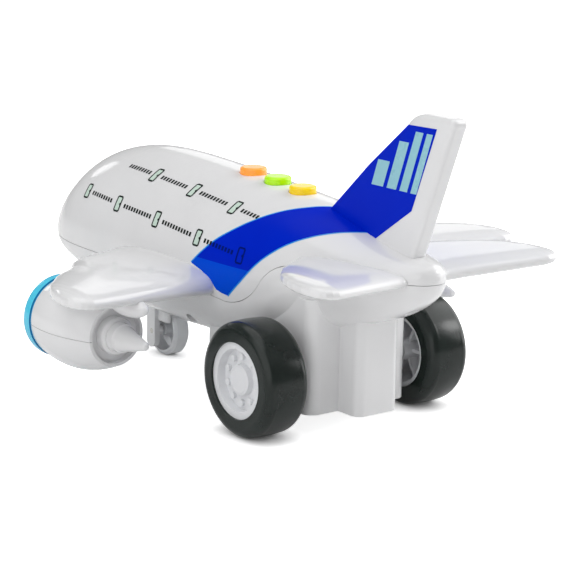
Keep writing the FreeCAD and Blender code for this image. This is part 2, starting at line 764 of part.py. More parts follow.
def build():
    outer, upper, lower = shells()
    hollow = fuselage_hollow()

    wing, nacelle_lower = wing_and_nacelle(outer)
    on_both_sides("wing", wing)
    on_both_sides("nacelle_lower", nacelle_lower)
    on_both_sides("intake_ring", intake_ring())
    on_both_sides("engine_fan", engine_fan())
    on_both_sides("engine_exhaust", engine_exhaust())
    on_both_sides("engine_led", engine_led())

    tailplane = lofted_wing(tail_plan, 4.0, 62.5, 11.0, 2.8, 14).cut(outer)
    tongue = tailplane_tongue(26)
    on_both_sides("tailplane", tailplane.fuse(tongue.cut(tailplane)).removeSplitter())
    parts["tail_fin"] = tail_fin(outer)

    for x in button_x.values():
        upper = upper.cut(rod(at(x, 0, 85), Z, button_radius + 0.3, 15))
    upper = upper.cut(box(*fin_slot, 70, 95))
    for slot in (tailplane_tongue(32), mirrored(tailplane_tongue(32))):
        upper = upper.cut(slot)
    for hole in wing_peg_room():
        upper = upper.cut(hole)
    parts["fuselage_upper_shell"] = upper

    skin = outer.cut(hollow)
    door = skin.common(battery_door_room(0))
    lower = lower.cut(battery_door_room(0.3))
    lower = lower.cut(across(0, wheel_radius, axle_radius + running_clearance, -40, 40))
    lower = lower.cut(rod(at(nose_axle_x, 0, 20), Z, fork_peg_radius, 15))
    parts["fuselage_lower_shell"] = lower
    x, y = door_screw
    pocket = rod(at(x, y, 20), Z, 2.8, screw_seat - 20)
    door = door.fuse(rod(at(x, y, screw_seat - 0.6), Z, 3.6, 1.8)).cut(pocket)
    parts["battery_door"] = door.cut(rod(at(x, y, 20), Z, 1.4, 12))
    parts["battery_door_screw"] = battery_door_screw()
    parts["body_screws"] = body_screws()

    parts["battery_tray"] = battery_tray(hollow)
    parts["batteries"] = batteries()
    parts["battery_contacts"] = battery_contacts()
    electronics()

    on_both_sides("rear_tyre", tyre(track / 2))
    on_both_sides("rear_hub", hub(track / 2))
    axle_end = track / 2 + wheel_width / 2 - hub_inset - 7.2
    parts["rear_axle"] = across(0, wheel_radius, axle_radius, -axle_end, axle_end)
    friction_motor()
    motor_case()

    parts["nose_wheel"] = nose_wheel()
    parts["nose_gear_fork"] = nose_gear_fork(outer)
    parts["nose_axle"] = across(nose_axle_x, nose_wheel_radius, nose_axle_radius, -9.2, 9.2)

    for colour, x in button_x.items():
        parts["button_" + colour] = push_button(x)
        parts["button_spring_" + colour] = button_spring(x)


def save():
    os.makedirs("parts", exist_ok=True)
    for name, shape in parts.items():
        placed = shape.copy()
        placed.translate(X * -middle_x)
        placed.exportStep("parts/" + name + ".step")
        print(name, len(placed.Solids), placed.isValid(), round(placed.Volume, 1))


build()
save()
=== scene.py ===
import math

import bmesh
import bpy
from mathutils import Matrix, Vector
from mathutils.bvhtree import BVHTree


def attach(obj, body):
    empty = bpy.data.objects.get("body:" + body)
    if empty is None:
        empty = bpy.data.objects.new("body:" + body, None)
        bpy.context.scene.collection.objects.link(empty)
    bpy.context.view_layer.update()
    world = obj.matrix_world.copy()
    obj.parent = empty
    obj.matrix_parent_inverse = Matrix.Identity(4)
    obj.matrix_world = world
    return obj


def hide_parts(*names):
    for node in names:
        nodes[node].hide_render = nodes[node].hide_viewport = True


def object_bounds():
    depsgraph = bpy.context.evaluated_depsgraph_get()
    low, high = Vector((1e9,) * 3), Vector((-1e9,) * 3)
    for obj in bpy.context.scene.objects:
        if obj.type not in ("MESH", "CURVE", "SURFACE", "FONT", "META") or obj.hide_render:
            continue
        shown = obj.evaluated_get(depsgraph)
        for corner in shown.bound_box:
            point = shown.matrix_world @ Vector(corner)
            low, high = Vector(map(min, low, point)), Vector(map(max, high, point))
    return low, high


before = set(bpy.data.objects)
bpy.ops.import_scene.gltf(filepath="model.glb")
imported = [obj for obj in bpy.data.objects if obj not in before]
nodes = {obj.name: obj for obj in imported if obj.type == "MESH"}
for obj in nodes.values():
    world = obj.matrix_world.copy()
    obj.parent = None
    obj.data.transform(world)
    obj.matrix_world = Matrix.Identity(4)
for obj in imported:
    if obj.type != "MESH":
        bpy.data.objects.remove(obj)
cadBox = [list(corner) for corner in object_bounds()]
mm = 0.001
axleX = -59.75  # mm along the frame, the rear axle; places on the body are given ahead of it
sides = ((1, "left"), (-1, "right"))
print("frame loaded:", len(nodes), "CAD nodes")


def toLinear(hexColour):
    channels = [int(hexColour[i:i + 2], 16) / 255 for i in (1, 3, 5)]
    linear = [c / 12.92 if c <= 0.04045 else ((c + 0.055) / 1.055) ** 2.4 for c in channels]
    return (*linear, 1.0)


def startMaterial(name):
    material = bpy.data.materials.new(name)
    material.use_nodes = True
    tree = material.node_tree
    return material, tree, tree.nodes["Principled BSDF"]


def addNode(tree, kind, settings=None, inputs=None):
    # one node with its settings and inputs; an input that is a socket becomes a link
    node = tree.nodes.new(kind)
    for key, value in (settings or {}).items():
        setattr(node, key, value)
    for key, value in (inputs or {}).items():
        if isinstance(value, bpy.types.NodeSocket):
            tree.links.new(value, node.inputs[key])
        else:
            node.inputs[key].default_value = value
    return node


def perMetre(sizeMm):
    return 1000.0 / sizeMm  # texture scale that gives a feature of this size


def setShader(shader, values):
    for key, value in values.items():
        shader.inputs[key].default_value = value


def makePiece(name, shape, *materials):
    # a finished bmesh becomes a named object
    mesh = bpy.data.meshes.new(name)
    shape.to_mesh(mesh)
    shape.free()
    for material in materials:
        mesh.materials.append(material)
    piece = bpy.data.objects.new(name, mesh)
    bpy.context.scene.collection.objects.link(piece)
    return piece


def mouldedPlastic(name, look):
    # injection moulded plastic: an even colour with a faint flow mottle, a slightly uneven
    # polish that breaks up the highlights, and the shallow waviness of a cooled skin. The real
    # skin is finer than this and is drawn coarse enough to show
    material, tree, shader = startMaterial(name)
    place = addNode(tree, "ShaderNodeTexCoord").outputs["Object"]
    flow = addNode(tree, "ShaderNodeTexNoise", inputs={
        "Vector": place, "Scale": perMetre(look["flowMm"]), "Detail": 3.0})
    tone = addNode(tree, "ShaderNodeValToRGB", inputs={"Fac": flow.outputs["Fac"]})
    for stop, position, key in zip(tone.color_ramp.elements, (0.3, 0.7), ("shade", "colour")):
        stop.position = position
        stop.color = toLinear(look[key])
    tree.links.new(tone.outputs["Color"], shader.inputs["Base Color"])
    polish = addNode(tree, "ShaderNodeTexNoise", inputs={
        "Vector": place, "Scale": perMetre(look["polishMm"]), "Detail": 2.0})
    rough = addNode(tree, "ShaderNodeMapRange", inputs={
        "Value": polish.outputs["Fac"], "To Min": look["rough"][0], "To Max": look["rough"][1]})
    tree.links.new(rough.outputs["Result"], shader.inputs["Roughness"])
    skin = addNode(tree, "ShaderNodeTexNoise", inputs={
        "Vector": place, "Scale": perMetre(look["skinMm"]), "Detail": 2.0})
    bump = addNode(tree, "ShaderNodeBump", inputs={
        "Strength": look["bump"], "Distance": 0.2 * mm, "Height": skin.outputs["Fac"]})
    tree.links.new(bump.outputs["Normal"], shader.inputs["Normal"])
    setShader(shader, {"IOR": look["ior"]})
    if "glow" in look:
        # light soaks into the thin walls of the caps; a painted glow, light of their own with no lamp
        # modelled under them, keeps the colour bright
        setShader(shader, {
            "Subsurface Weight": look["glow"], "Subsurface Radius": (1, 1, 1),
            "Subsurface Scale": 2 * mm, "Emission Color": toLinear(look["colour"]),
            "Emission Strength": look["paintedGlow"]})
    return material


whiteLook = {"colour": "#EDEDEE", "shade": "#E9E9EA", "flowMm": 30, "polishMm": 6, "skinMm": 4,
             "rough": (0.08, 0.12), "bump": 0.02, "ior": 1.53}
wheelLook = {"colour": "#E9EAEC", "shade": "#E2E3E6", "flowMm": 12, "polishMm": 3, "skinMm": 1.2,
             "rough": (0.34, 0.44), "bump": 0.06, "ior": 1.53}
greyLook = {"colour": "#D9DBDD", "shade": "#D0D2D5", "flowMm": 10, "polishMm": 3, "skinMm": 1.5,
            "rough": (0.28, 0.36), "bump": 0.05, "ior": 1.53}
acetalLook = {"colour": "#EFEBDD", "shade": "#E6E1D0", "flowMm": 6, "polishMm": 2, "skinMm": 0.8,
              "rough": (0.42, 0.5), "bump": 0.08, "ior": 1.48}
blackLook = {"colour": "#1B1C1E", "shade": "#131415", "flowMm": 8, "polishMm": 2, "skinMm": 0.7,
             "rough": (0.4, 0.55), "bump": 0.12, "ior": 1.53}
orangeLook = {"colour": "#FFA640", "shade": "#FF9C34", "flowMm": 5, "polishMm": 2, "skinMm": 1.5,
              "rough": (0.16, 0.24), "bump": 0.04, "ior": 1.5, "glow": 0.4, "paintedGlow": 0.24}
greenLook = {"colour": "#C0FF00", "shade": "#B4F800", "flowMm": 5, "polishMm": 2, "skinMm": 1.5,
             "rough": (0.16, 0.24), "bump": 0.04, "ior": 1.5, "glow": 0.4, "paintedGlow": 0.06}
yellowLook = {"colour": "#FFD800", "shade": "#FFCE00", "flowMm": 5, "polishMm": 2, "skinMm": 1.5,
              "rough": (0.16, 0.24), "bump": 0.04, "ior": 1.5, "glow": 0.4, "paintedGlow": 0.1}

whiteAbs = mouldedPlastic("whiteAbsPolished", whiteLook)
wheelAbs = mouldedPlastic("whiteAbsFineMould", wheelLook)
greyAbs = mouldedPlastic("greyAbsMoulded", greyLook)
acetal = mouldedPlastic("naturalAcetalMoulded", acetalLook)
blackAbs = mouldedPlastic("blackAbsMoulded", blackLook)
orangePlastic = mouldedPlastic("orangeStyreneMoulded", orangeLook)
greenPlastic = mouldedPlastic("greenStyreneMoulded", greenLook)
yellowPlastic = mouldedPlastic("yellowStyreneMoulded", yellowLook)


def mouldedRubber(name, look):
    # smooth moulded tyre rubber: nearly black with a green cast, satin where the mould was
    # polished, a little paler and duller where handling has scuffed it
    material, tree, shader = startMaterial(name)
    place = addNode(tree, "ShaderNodeTexCoord").outputs["Object"]
    scuff = addNode(tree, "ShaderNodeTexNoise", inputs={
        "Vector": place, "Scale": perMetre(look["scuffMm"]), "Detail": 5.0, "Roughness": 0.6})
    tone = addNode(tree, "ShaderNodeValToRGB", inputs={"Fac": scuff.outputs["Fac"]})
    for stop, position, key in zip(tone.color_ramp.elements, (0.35, 0.75), ("colour", "scuffed")):
        stop.position = position
        stop.color = toLinear(look[key])
    tree.links.new(tone.outputs["Color"], shader.inputs["Base Color"])
    rough = addNode(tree, "ShaderNodeMapRange", inputs={
        "Value": scuff.outputs["Fac"], "To Min": look["rough"][0], "To Max": look["rough"][1]})
    tree.links.new(rough.outputs["Result"], shader.inputs["Roughness"])
    grain = addNode(tree, "ShaderNodeTexNoise", inputs={
        "Vector": place, "Scale": perMetre(look["grainMm"]), "Detail": 2.0})
    bump = addNode(tree, "ShaderNodeBump", inputs={
        "Strength": look["bump"], "Distance": 0.1 * mm, "Height": grain.outputs["Fac"]})
    tree.links.new(bump.outputs["Normal"], shader.inputs["Normal"])
    setShader(shader, {"IOR": look["ior"], "Specular IOR Level": look["shine"]})
    return material


tyreRubber = mouldedRubber("tyreRubberMoulded", {
    "colour": "#141C19", "scuffed": "#1B2421", "scuffMm": 7, "grainMm": 0.7, "bump": 0.1,
    "rough": (0.2, 0.25), "ior": 1.52, "shine": 0.3})


def drawnMetal(name, look):
    # drawn wire, pressed strip and die casting: bright metal with faint streaks along the way
    # it was drawn, or a plain blotch where it was cast. Real draw lines are finer than these
    material, tree, shader = startMaterial(name)
    place = addNode(tree, "ShaderNodeTexCoord").outputs["Object"]
    along = addNode(tree, "ShaderNodeMapping", inputs={"Vector": place, "Scale": look["stretch"]})
    streak = addNode(tree, "ShaderNodeTexNoise", inputs={
        "Vector": along.outputs["Vector"], "Scale": perMetre(look["streakMm"]), "Detail": 3.0})
    tone = addNode(tree, "ShaderNodeMix", {"data_type": "RGBA"}, {
        "Factor": streak.outputs["Fac"], "A": toLinear(look["colour"]), "B": toLinear(look["shade"])})
    tree.links.new(tone.outputs["Result"], shader.inputs["Base Color"])
    rough = addNode(tree, "ShaderNodeMapRange", inputs={
        "Value": streak.outputs["Fac"], "To Min": look["rough"][0], "To Max": look["rough"][1]})
    tree.links.new(rough.outputs["Result"], shader.inputs["Roughness"])
    setShader(shader, {"Metallic": 1.0})
    return material


steel = drawnMetal("nickelSteelDrawn", {
    "colour": "#C9C7C2", "shade": "#A8A6A1", "stretch": (1, 0.05, 1), "streakMm": 0.4,
    "rough": (0.2, 0.34)})
castZinc = drawnMetal("zincDieCast", {
    "colour": "#9A9DA1", "shade": "#84878B", "stretch": (1, 1, 1), "streakMm": 1.5,
    "rough": (0.4, 0.55)})


def tintedClear(name, look):
    # tinted see-through plastic with a polished face: bright in its own colour and deeper
    # where the eye looks along the wall
    material, tree, shader = startMaterial(name)
    place = addNode(tree, "ShaderNodeTexCoord").outputs["Object"]
    edge = addNode(tree, "ShaderNodeLayerWeight", inputs={"Blend": look["edge"]})
    flow = addNode(tree, "ShaderNodeTexNoise", inputs={
        "Vector": place, "Scale": perMetre(look["flowMm"]), "Detail": 2.0})
    depth = addNode(tree, "ShaderNodeMath", {"operation": "MULTIPLY_ADD"}, {
        0: flow.outputs["Fac"], 1: look["flowShare"], 2: edge.outputs["Facing"]})
    tone = addNode(tree, "ShaderNodeMix", {"data_type": "RGBA"}, {
        "Factor": depth.outputs["Value"], "A": toLinear(look["colour"]), "B": toLinear(look["deep"])})
    tree.links.new(tone.outputs["Result"], shader.inputs["Base Color"])
    setShader(shader, {"IOR": look["ior"], "Roughness": look["rough"],
                       "Transmission Weight": look["clear"]})
    return material


clearLook = {"flowMm": 3, "flowShare": 0.2, "edge": 0.4, "ior": 1.59, "rough": 0.12}
cyanClear = tintedClear("cyanStyreneMoulded", {
    **clearLook, "colour": "#62E8FF", "deep": "#34CCFA", "clear": 0.1})
cyanPaintedShade = tintedClear("cyanStyrenePaintedJointShade", {  # painted shade of the joint's gap, a darker line
    **clearLook, "colour": "#2C8EC8", "deep": "#1870A8", "clear": 0.1})
lampClear = tintedClear("clearEpoxyCast", {
    **clearLook, "colour": "#F2F5F7", "deep": "#C9D2D8", "clear": 0.7})


def printedInk(name, look):
    # pad printed ink, film and other thin coats: flat even colour, a little duller than the
    # polished plastic under it, with the slight patchiness of a pad's lift
    material, tree, shader = startMaterial(name)
    place = addNode(tree, "ShaderNodeTexCoord").outputs["Object"]
    patch = addNode(tree, "ShaderNodeTexNoise", inputs={
        "Vector": place, "Scale": perMetre(look["patchMm"]), "Detail": 3.0})
    tone = addNode(tree, "ShaderNodeMix", {"data_type": "RGBA"}, {
        "Factor": patch.outputs["Fac"], "A": toLinear(look["colour"]), "B": toLinear(look["shade"])})
    tree.links.new(tone.outputs["Result"], shader.inputs["Base Color"])
    rough = addNode(tree, "ShaderNodeMapRange", inputs={
        "Value": patch.outputs["Fac"], "To Min": look["rough"][0], "To Max": look["rough"][1]})
    tree.links.new(rough.outputs["Result"], shader.inputs["Roughness"])
    setShader(shader, {"IOR": 1.5, "Specular IOR Level": look["shine"]})
    return material


blueInk = printedInk("royalBlueFilmPrinted", {
    "colour": "#0028CC", "shade": "#0024C6", "patchMm": 18, "rough": (0.2, 0.28), "shine": 0.04})
# painted reflection: the band's lower part is lighter where the white wing is mirrored in the film
paintedReflectionBlue = printedInk("blueFilmPaintedReflection", {
    "colour": "#0050E2", "shade": "#004ADA", "patchMm": 18, "rough": (0.2, 0.28), "shine": 0.04})
cyanInk = printedInk("cyanFilmPrinted", {
    "colour": "#1E9BF0", "shade": "#1790E4", "patchMm": 6, "rough": (0.24, 0.32), "shine": 0.5})
paleInk = printedInk("paleTealInkPrinted", {
    "colour": "#9CD2DE", "shade": "#8FC8D6", "patchMm": 5, "rough": (0.24, 0.32), "shine": 0.5})
darkInk = printedInk("blackGreenInkPrinted", {
    "colour": "#16201D", "shade": "#101816", "patchMm": 2, "rough": (0.3, 0.4), "shine": 0.15})
navyInk = printedInk("blackInkUnderFilmPrinted", {  # the black seen through the blue film over it
    "colour": "#001A74", "shade": "#00166A", "patchMm": 2, "rough": (0.22, 0.3), "shine": 0.04})
mintInk = printedInk("paleMintInkPrinted", {
    "colour": "#D5E8DC", "shade": "#CCE2D4", "patchMm": 3, "rough": (0.26, 0.34), "shine": 0.5})
glassInk = printedInk("smokeGreyInkPrinted", {
    "colour": "#20262C", "shade": "#1A1F25", "patchMm": 4, "rough": (0.16, 0.24), "shine": 0.5})
boardGreen = printedInk("greenSolderMaskCoated", {
    "colour": "#14602E", "shade": "#0F5226", "patchMm": 2, "rough": (0.3, 0.42), "shine": 0.5})
cellJacket = printedInk("greySleeveShrunk", {
    "colour": "#3A3F47", "shade": "#30343B", "patchMm": 4, "rough": (0.24, 0.34), "shine": 0.5})

finishes = {
    "fuselage_upper_shell": whiteAbs, "fuselage_lower_shell": whiteAbs, "battery_door": whiteAbs,
    "wing_left": whiteAbs, "wing_right": whiteAbs,
    "nacelle_lower_left": whiteAbs, "nacelle_lower_right": whiteAbs,
    "tailplane_left": whiteAbs, "tailplane_right": whiteAbs, "tail_fin": whiteAbs,
    "nose_gear_fork": whiteAbs, "nose_wheel": wheelAbs,
    "intake_ring_left": cyanClear, "intake_ring_right": cyanClear,
    "engine_fan_left": greyAbs, "engine_fan_right": greyAbs,
    "engine_exhaust_left": whiteAbs, "engine_exhaust_right": whiteAbs,
    "engine_led_left": lampClear, "engine_led_right": lampClear,
    "rear_tyre_left": tyreRubber, "rear_tyre_right": tyreRubber,
    "rear_hub_left": wheelAbs, "rear_hub_right": wheelAbs,
    "rear_axle": steel, "nose_axle": steel, "flywheel_shaft": steel, "flywheel": castZinc,
    "body_screws": steel, "battery_door_screw": steel, "battery_contacts": steel,
    "button_spring_orange": steel, "button_spring_green": steel, "button_spring_yellow": steel,
    "axle_gear": acetal, "middle_gear": acetal, "flywheel_pinion": acetal,
    "motor_case_left": blackAbs, "motor_case_right": blackAbs, "battery_tray": blackAbs,
    "speaker": blackAbs, "button_switches": blackAbs, "circuit_board": boardGreen,
    "batteries": cellJacket,
    "button_orange": orangePlastic, "button_green": greenPlastic, "button_yellow": yellowPlastic,
}
for nodeName, material in finishes.items():
    nodes[nodeName].data.materials.clear()
    nodes[nodeName].data.materials.append(material)
print("materials on", len(finishes), "nodes")


def treeOf(*nodeNames):
    # one ray casting tree over several CAD nodes
    corners = []
    faces = []
    for name in nodeNames:
        mesh = nodes[name].data
        first = len(corners)
        corners += [vertex.co.copy() for vertex in mesh.vertices]
        faces += [[first + i for i in polygon.vertices] for polygon in mesh.polygons]
    return BVHTree.FromPolygons(corners, faces)


bodyTree = treeOf("fuselage_upper_shell", "fuselage_lower_shell")
body = {
    "centreZ": 60.0,  # mm, prints are placed by their turn about this line
    "round": 34.0,    # mm, radius that turns degrees into a length for laying out
    "reach": 90.0,    # mm from the line, where the rays start
    "missed": 30.0,   # mm from the line, where a point goes if its ray slips between facets
    "cell": 2.0,      # mm between the cuts that let a print follow the surface
}


def onBody(x, turn, lift):
    # the body's outside at x mm ahead of the axle, turned from the top towards the left
    away = Vector((0, math.sin(math.radians(turn)), math.cos(math.radians(turn))))
    centre = Vector(((x + axleX) * mm, 0, body["centreZ"] * mm))
    hit, normal, _, _ = bodyTree.ray_cast(centre + away * (body["reach"] * mm), -away)
    if hit is None:
        return centre + away * (body["missed"] * mm)
    if normal.dot(away) < 0:
        normal = -normal
    return hit + normal * (lift * mm)


def flatPatch(outline, cell):
    # a flat sheet with this outline, cut into cells so that it can follow a curved surface
    sheet = bmesh.new()
    sheet.faces.new([sheet.verts.new((u, v, 0)) for u, v in outline])
    for axis in (0, 1):
        values = [point[axis] for point in outline]
        spot = math.floor(min(values) / cell) * cell + cell
        while spot < max(values):
            direction = Vector((1 - axis, axis, 0))
            everything = sheet.verts[:] + sheet.edges[:] + sheet.faces[:]
            bmesh.ops.bisect_plane(sheet, geom=everything, plane_co=direction * spot,
                                   plane_no=direction)
            spot += cell
    bmesh.ops.triangulate(sheet, faces=sheet.faces[:])
    return sheet


def faceOutward(sheet, outward):
    # prints are open sheets, so their faces are turned to look away from the part
    for face in sheet.faces:
        face.normal_update()
        if face.normal.dot(outward(face.calc_center_median())) < 0:
            face.normal_flip()


def bodyPrint(name, outlines, side, material, lift):
    # outlines are lists of (x mm, turn degrees) on the left side; side -1 mirrors them
    whole = bmesh.new()
    for outline in outlines:
        laid = [(x, side * math.radians(turn) * body["round"]) for x, turn in outline]
        sheet = flatPatch(laid, body["cell"])
        for vertex in sheet.verts:
            vertex.co = onBody(vertex.co.x, math.degrees(vertex.co.y / body["round"]), lift)
        scratch = bpy.data.meshes.new("scratch")
        sheet.to_mesh(scratch)
        sheet.free()
        whole.from_mesh(scratch)
        bpy.data.meshes.remove(scratch)
    faceOutward(whole, lambda place: Vector((0, place.y, place.z - body["centreZ"] * mm)))
    piece = makePiece(name, whole, material)
    piece.data.shade_smooth()
    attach(piece, "airframe")


def curveThrough(points, steps):
    # a smooth line through a few points, with this many steps between each two
    ends = [points[0]] + points + [points[-1]]
    line = []
    for a, b, c, d in zip(ends, ends[1:], ends[2:], ends[3:]):
        for step in range(steps):
            t = step / steps
            line.append(tuple(0.5 * (2 * q + (r - p) * t + (2 * p - 5 * q + 4 * r - s) * t * t
                                     + (3 * q - p - 3 * r + s) * t ** 3)
                              for p, q, r, s in zip(a, b, c, d)))
    line.append(points[-1])
    return line


doors = {
    "rows": {
        "lower": {"spots": [(145.5, 61.4), (117.6, 64.9), (86.6, 67.9), (55.2, 72.1), (26.1, 75.8)],
                  "lean": 0.15,       # mm that half a door leans back
                  "bandFront": 45.5},  # mm, marks behind this lie on the band
        "upper": {"spots": [(103.1, 35.8), (72.9, 38.8), (42.6, 42.3)],
                  "lean": 0.85, "bandFront": 26.8,
                  "front": 124.5},    # mm, this row starts ahead of its doors and ends at the band
    },
    "width": 4.35,      # mm along the body
    "height": 7.5,      # mm round the body
    "corner": 0.7,      # mm cut from each corner
    "cornerKeep": 0.6,  # share of an inset that comes off the corner cut, for an even frame
    "outline": 0.78,    # mm
    "notch": 0.8,       # mm of the latch mark on the rear edge
    "tickPitch": 2.05,  # mm between window ticks
    "tickWidth": 1.25,
    "tickHeight": 1.9,
    "ahead": 4.9,       # mm kept free ahead of a door
    "behind": 5.3,      # and behind it
    "lift": {"panes": 0.10, "onWhite": 0.12, "onBlue": 0.13},  # mm off the skin
}


def onRow(spots, x):
    # turn of a row of windows at x, carried on straight past its last doors
    ahead, behind = spots[0], spots[1]
    for paintedContactShade, far in zip(spots, spots[1:]):
        if x <= paintedContactShade[0]:
            ahead, behind = paintedContactShade, far
    share = (ahead[0] - x) / (ahead[0] - behind[0])
    return ahead[1] + (behind[1] - ahead[1]) * share


def leaning(x, turn, corners, lean):
    # corners as (mm behind the middle, mm below the middle) turned into (x mm, turn degrees)
    slope = lean / (doors["height"] / 2)
    return [(x - behind + below * slope, turn + math.degrees(below / body["round"]))
            for behind, below in corners]


def doorRing(inset):
    # a door's outline with cut corners, inset on all sides
    halfWide = doors["width"] / 2 - inset
    halfTall = doors["height"] / 2 - inset
    cut = doors["corner"] - inset * doors["cornerKeep"]
    return [(cut - halfWide, -halfTall), (halfWide - cut, -halfTall), (halfWide, cut - halfTall),
            (halfWide, halfTall - cut), (halfWide - cut, halfTall), (cut - halfWide, halfTall),
            (-halfWide, halfTall - cut), (-halfWide, cut - halfTall)]


def doorFrame(x, turn, lean):
    # the outline as one bar per side and corner, with the latch mark
    outer = doorRing(0)
    inner = doorRing(doors["outline"])
    bars = [leaning(x, turn, [outer[here - 1], outer[here], inner[here], inner[here - 1]], lean)
            for here in range(len(outer))]
    edge = doors["width"] / 2 - doors["outline"]
    notch = doors["notch"]
    return bars + [leaning(x, turn, [(edge, -notch), (edge, notch), (edge - notch, 0)], lean)]


def tickSpots(row):
    # places of the window ticks between the doors of one row
    spots = row["spots"]
    edges = [(paintedContactShade[0] - doors["behind"], far[0] + doors["ahead"])
             for paintedContactShade, far in zip(spots, spots[1:])]
    if "front" in row:
        edges.append((row["front"], spots[0][0] + doors["ahead"]))
        edges.append((spots[-1][0] - doors["behind"], row["bandFront"]))
    return [start - step * doors["tickPitch"] for start, stop in edges
            for step in range(int((start - stop) / doors["tickPitch"]) + 1)]


def printDoors(side, sideName):
    halfWide = doors["tickWidth"] / 2
    halfTall = doors["tickHeight"] / 2
    tick = [(-halfWide, -halfTall), (halfWide, -halfTall), (halfWide, halfTall),
            (-halfWide, halfTall)]
    onWhite, onBlue, panes = [], [], []
    for row in doors["rows"].values():
        for x, turn in row["spots"]:
            if x < row["bandFront"]:
                onBlue += doorFrame(x, turn, row["lean"])
            else:
                onWhite += doorFrame(x, turn, row["lean"])
                panes.append(leaning(x, turn, doorRing(doors["outline"]), row["lean"]))
        for x in tickSpots(row):
            marks = onBlue if x < row["bandFront"] else onWhite
            marks.append(leaning(x, onRow(row["spots"], x), tick, row["lean"]))
    bodyPrint("door_panes_" + sideName, panes, side, mintInk, doors["lift"]["panes"])
    bodyPrint("window_row_" + sideName, onWhite, side, darkInk, doors["lift"]["onWhite"])
    bodyPrint("window_row_on_band_" + sideName, onBlue, side, navyInk, doors["lift"]["onBlue"])


band = {
    "top": [(55.6, 90.1), (44.4, 71.8), (35.6, 59.6), (27.1, 47.4), (18.2, 33.9), (9.9, 21.2),
            (4.9, 10.9), (2.0, 4.0)],
    "bottom": [(-23.0, 4.0), (-18.5, 18.6), (-12.5, 32.0), (-5.6, 43.8), (2.2, 55.1), (9.2, 66.1),
               (16.1, 78.0), (23.9, 93.3), (31.6, 106.2)],
    "end": [(35.1, 105.2), (38.4, 103.6), (41.2, 99.5), (47.9, 93.6)],
    "steps": 5,        # to each stretch of a curve
    "edge": 0.45,      # mm of cyan showing round the blue
    "footTurn": 85.2,  # degrees, below this the film is a lighter blue: a painted reflection of the white wing
    "lift": {"film": 0.09, "foot": 0.11, "edge": 0.07},  # mm off the skin
}


def clippedBelow(outline, level):
    # the part of an outline that lies lower on the body than this turn
    kept = []
    for (x, turn), (nextX, nextTurn) in zip(outline, outline[1:] + outline[:1]):
        if turn >= level:
            kept.append((x, turn))
        if (turn >= level) != (nextTurn >= level):
            share = (level - turn) / (nextTurn - turn)
            kept.append((x + (nextX - x) * share, level))
    return kept


def printBand(side, sideName):
    top = curveThrough(band["top"], band["steps"])
    bottom = curveThrough(band["bottom"], band["steps"])
    outline = top + bottom + band["end"]
    bodyPrint("tail_band_" + sideName, [outline], side, blueInk, band["lift"]["film"])
    # painted reflection: below that turn the band is laid again in a lighter blue, for the white wing
    # mirrored in the film
    foot = clippedBelow(outline, band["footTurn"])
    bodyPrint("tail_band_painted_reflection_" + sideName, [foot], side, paintedReflectionBlue, band["lift"]["foot"])
    strips = []
    for line, outward in ((top, 1), (bottom, -1)):
        alongStep = outward * band["edge"]
        turnStep = math.degrees(alongStep / body["round"])
        for (x, turn), (nextX, nextTurn) in zip(line, line[1:]):
            strips.append([(x, turn), (nextX, nextTurn), (nextX + alongStep, nextTurn - turnStep),
                           (x + alongStep, turn - turnStep)])
    bodyPrint("tail_band_edge_" + sideName, strips, side, cyanInk, band["lift"]["edge"])


for side, sideName in sides:
    printDoors(side, sideName)
    printBand(side, sideName)
print("body prints laid")

finFilm = {
    "halfThick": 4.0,  # mm, half the fin's thickness
    "beside": 0.1,     # mm outside the fin's side, where the body's height is taken
    "rayTop": 120.0,   # mm, height that those rays start from
    "outline": [(-21.4, 110.2), (-44.6, 129.6), (-61.2, 130.0), (-48.1, 96.1)],
    "foot": (-27.1, 1.6),  # mm, rear and front end of the edge that lies along the body
    "footSteps": 12,
    "bars": [  # leaning bars as lower rear, lower front, upper front, upper rear
        [(-50.5, 103.0), (-47.0, 103.0), (-55.6, 127.5), (-59.0, 127.5)],
        [(-45.0, 103.0), (-40.5, 103.0), (-49.2, 127.5), (-53.6, 127.5)],
        [(-38.5, 103.0), (-32.8, 103.0), (-39.8, 122.6), (-45.4, 122.6)],
        [(-30.6, 103.0), (-23.6, 103.0), (-27.4, 113.6), (-34.4, 113.6)],
    ],
    "lift": {"film": 0.08, "bars": 0.11},  # mm off the fin's side
}


def finPrint(name, outline, side, lift, material):
    # a flat print on the fin's side, from (x mm, z mm)
    sheet = bmesh.new()
    across = side * (finFilm["halfThick"] + lift) * mm
    sheet.faces.new([sheet.verts.new(((x + axleX) * mm, across, z * mm)) for x, z in outline])
    bmesh.ops.triangulate(sheet, faces=sheet.faces[:])
    faceOutward(sheet, lambda place: Vector((0, side, 0)))
    piece = makePiece(name, sheet, material)
    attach(piece, "airframe")


def besideFin(x):
    # height in mm of the body's skin just outside the fin
    above = Vector((x + axleX, finFilm["halfThick"] + finFilm["beside"], finFilm["rayTop"])) * mm
    return bodyTree.ray_cast(above, Vector((0, 0, -1)))[0].z / mm


rear, front = finFilm["foot"]
footXs = [rear + (front - rear) * step / finFilm["footSteps"]
          for step in range(finFilm["footSteps"] + 1)]
filmOutline = finFilm["outline"] + [(x, besideFin(x)) for x in footXs]
for side, sideName in sides:
    finPrint("fin_film_" + sideName, filmOutline, side, finFilm["lift"]["film"], blueInk)
    for count, bar in enumerate(finFilm["bars"], 1):
        finPrint("fin_bar_%d_%s" % (count, sideName), bar, side, finFilm["lift"]["bars"], paleInk)
print("fin film laid")

windscreen = {
    "panes": [
        [(173.0, 3), (178.0, 3), (177.2, 22), (171.6, 19)],
        [(171.2, 22), (176.8, 25.5), (174.6, 44), (168.4, 37)],
    ],
    "lift": 0.1,  # mm off the skin
}
for side, sideName in sides:
    bodyPrint("windscreen_" + sideName, windscreen["panes"], side, glassInk, windscreen["lift"])
print("windscreen laid")

